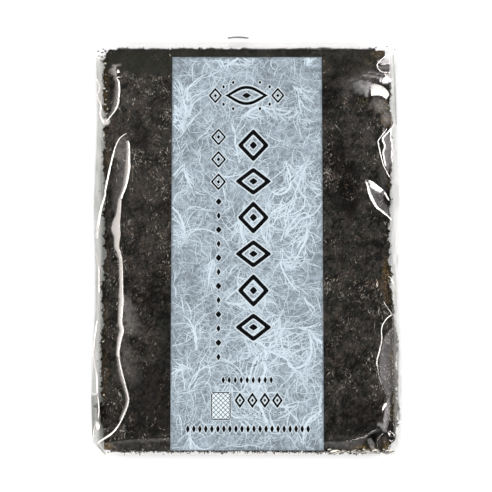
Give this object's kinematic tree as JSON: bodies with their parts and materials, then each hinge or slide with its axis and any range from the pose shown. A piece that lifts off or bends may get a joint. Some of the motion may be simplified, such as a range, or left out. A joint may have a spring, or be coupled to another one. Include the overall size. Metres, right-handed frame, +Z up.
{
  "type": "bag of dried seaweed sheets",
  "caption": "Flat clear film bag holding a squared stack of dark dried seaweed sheets, with a broad label strip down its face and a slotted hanging header.",
  "frame": {"origin": "on the surface that the bag lies on, under the middle of its overall width and length", "axes": "+X to the right across the face, +Y along the bag towards the hanging header, +Z up from the face that it lies on"},
  "size_m": [0.2066, 0.2948, 0.0195],
  "materials": {
    "filled_film": "clear glossy film over nearly black dried seaweed",
    "label_paper": "smooth matt grey-blue paper with pale fibres"
  },
  "bodies": {
    "root": {"bag": "filled_film", "label": "label_paper"}
  },
  "joints": []
}
